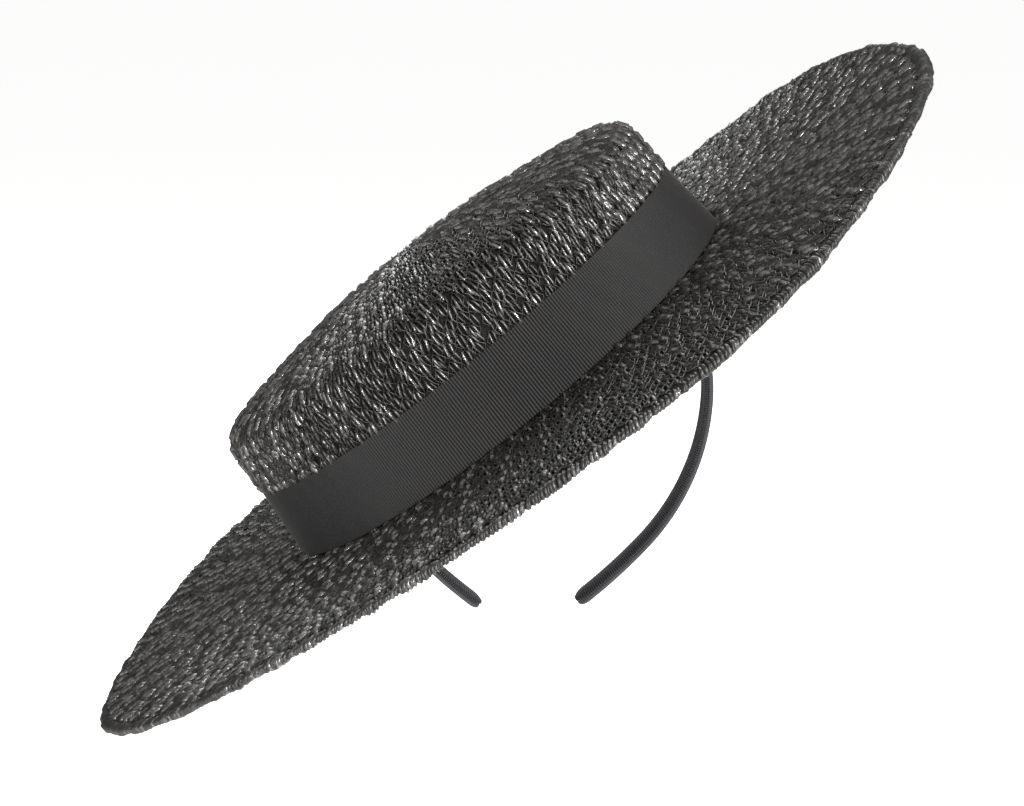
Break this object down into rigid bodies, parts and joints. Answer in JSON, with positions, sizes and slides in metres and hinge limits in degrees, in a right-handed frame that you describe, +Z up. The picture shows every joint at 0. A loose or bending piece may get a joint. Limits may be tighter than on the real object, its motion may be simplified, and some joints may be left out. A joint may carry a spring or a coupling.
{
  "type": "straw boater hat on a headband",
  "caption": "Wide flat-brimmed black straw boater with a low domed crown and a plain grosgrain ribbon, worn tilted on a covered C-shaped headband.",
  "frame": {"origin": "middle of the headband's inner face at its top, where it sits on the head", "axes": "+Z up with the wearer's head upright, +X to the viewer's right, -Y the way the wearer faces; the hat tilts down towards -X"},
  "size_m": [0.28, 0.36, 0.2285],
  "materials": {
    "straw": "knotted black straw plait, low gloss",
    "ribbon": "matte ribbed black grosgrain",
    "headband_fabric": "matte ribbed black grosgrain",
    "thread": "black sewing thread"
  },
  "bodies": {
    "root": {"crown": "straw", "brim": "straw", "brim_edge": "straw", "hat_ribbon": "ribbon", "headband_cover": "headband_fabric", "headband_lining": "headband_fabric", "headband_tack_1": "thread", "headband_tack_2": "thread", "headband_tack_3": "thread"}
  },
  "joints": []
}
